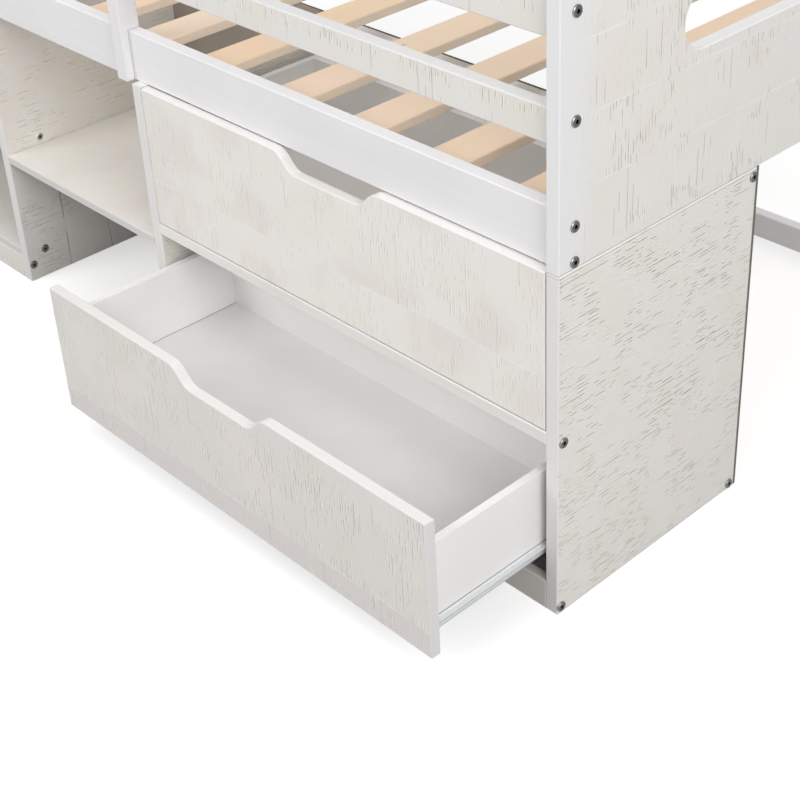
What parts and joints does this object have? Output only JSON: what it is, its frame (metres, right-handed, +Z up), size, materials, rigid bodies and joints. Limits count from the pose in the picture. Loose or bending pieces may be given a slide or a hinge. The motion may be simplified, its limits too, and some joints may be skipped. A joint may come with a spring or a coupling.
{
  "type": "low loft bed",
  "caption": "Low loft bed with a slatted deck and guard boards over a drawer cabinet, an open bay and a bookcase; the drawers run out on roller slides.",
  "frame": {"origin": "on the floor, in the middle of the outline seen from above with the lower drawer drawn out as stored", "axes": "+X along the bed from the bookcase end to the drawer end, +Y from the drawer fronts to the back, +Z up"},
  "size_m": [1.974, 1.292, 1],
  "materials": {
    "rustic_white_wood": "white-washed pine with fine saw marks and worn tan patches, matt",
    "smooth_white_wood": "planed wood painted white, satin",
    "pine": "bare planed pine with knots",
    "drawer_floor": "painted board, matt",
    "hardboard": "brown hardboard, one smooth face",
    "slide_steel": "pale grey powder-coated sheet steel with nylon rollers"
  },
  "bodies": {
    "bed": {"end_panel_right": "rustic_white_wood", "end_panel_left": "rustic_white_wood", "rear_leg_right": "rustic_white_wood", "rear_leg_left": "rustic_white_wood", "front_side_rail": "smooth_white_wood", "rear_side_rail": "smooth_white_wood", "front_slat_ledger": "pine", "rear_slat_ledger": "pine", "slat_01": "pine", "slat_02": "pine", "slat_03": "pine", "slat_04": "pine", "slat_05": "pine", "slat_06": "pine", "slat_07": "pine", "slat_08": "pine", "slat_09": "pine", "slat_10": "pine", "slat_11": "pine", "slat_12": "pine", "guard_post_right": "smooth_white_wood", "guard_post_left": "smooth_white_wood", "front_guard_right_upper": "rustic_white_wood", "front_guard_right_lower": "rustic_white_wood", "front_guard_left_upper": "rustic_white_wood", "front_guard_left_lower": "rustic_white_wood", "rear_guard_upper": "rustic_white_wood", "rear_guard_lower": "rustic_white_wood", "rear_stretcher": "smooth_white_wood", "cabinet_side_right": "rustic_white_wood", "cabinet_side_left": "rustic_white_wood", "cabinet_plinth": "smooth_white_wood", "cabinet_mid_rail": "smooth_white_wood", "cabinet_back_rail": "smooth_white_wood", "cabinet_back_panel": "hardboard", "bay_shelf": "rustic_white_wood", "bookcase_side_right": "rustic_white_wood", "bookcase_side_left": "rustic_white_wood", "bookcase_plinth": "rustic_white_wood", "bookcase_bottom": "rustic_white_wood", "bookcase_shelf": "rustic_white_wood", "bookcase_back_panel": "hardboard", "lower_drawer_channel_left": "slide_steel", "lower_drawer_channel_right": "slide_steel", "upper_drawer_channel_left": "slide_steel", "upper_drawer_channel_right": "slide_steel"},
    "lower_drawer": {"lower_drawer_front": "rustic_white_wood", "lower_drawer_side_left": "smooth_white_wood", "lower_drawer_side_right": "smooth_white_wood", "lower_drawer_back": "smooth_white_wood", "lower_drawer_bottom": "drawer_floor", "lower_drawer_slide_left": "slide_steel", "lower_drawer_slide_right": "slide_steel"},
    "upper_drawer": {"upper_drawer_front": "rustic_white_wood", "upper_drawer_side_left": "smooth_white_wood", "upper_drawer_side_right": "smooth_white_wood", "upper_drawer_back": "smooth_white_wood", "upper_drawer_bottom": "drawer_floor", "upper_drawer_slide_left": "slide_steel", "upper_drawer_slide_right": "slide_steel"}
  },
  "joints": [
    {"name": "lower_drawer_slide", "type": "slide", "parent": "bed", "child": "lower_drawer", "axis": [0, -1, 0], "range_m": [-0.22, 0.04]},
    {"name": "upper_drawer_slide", "type": "slide", "parent": "bed", "child": "upper_drawer", "axis": [0, -1, 0], "range_m": [0, 0.26]}
  ]
}
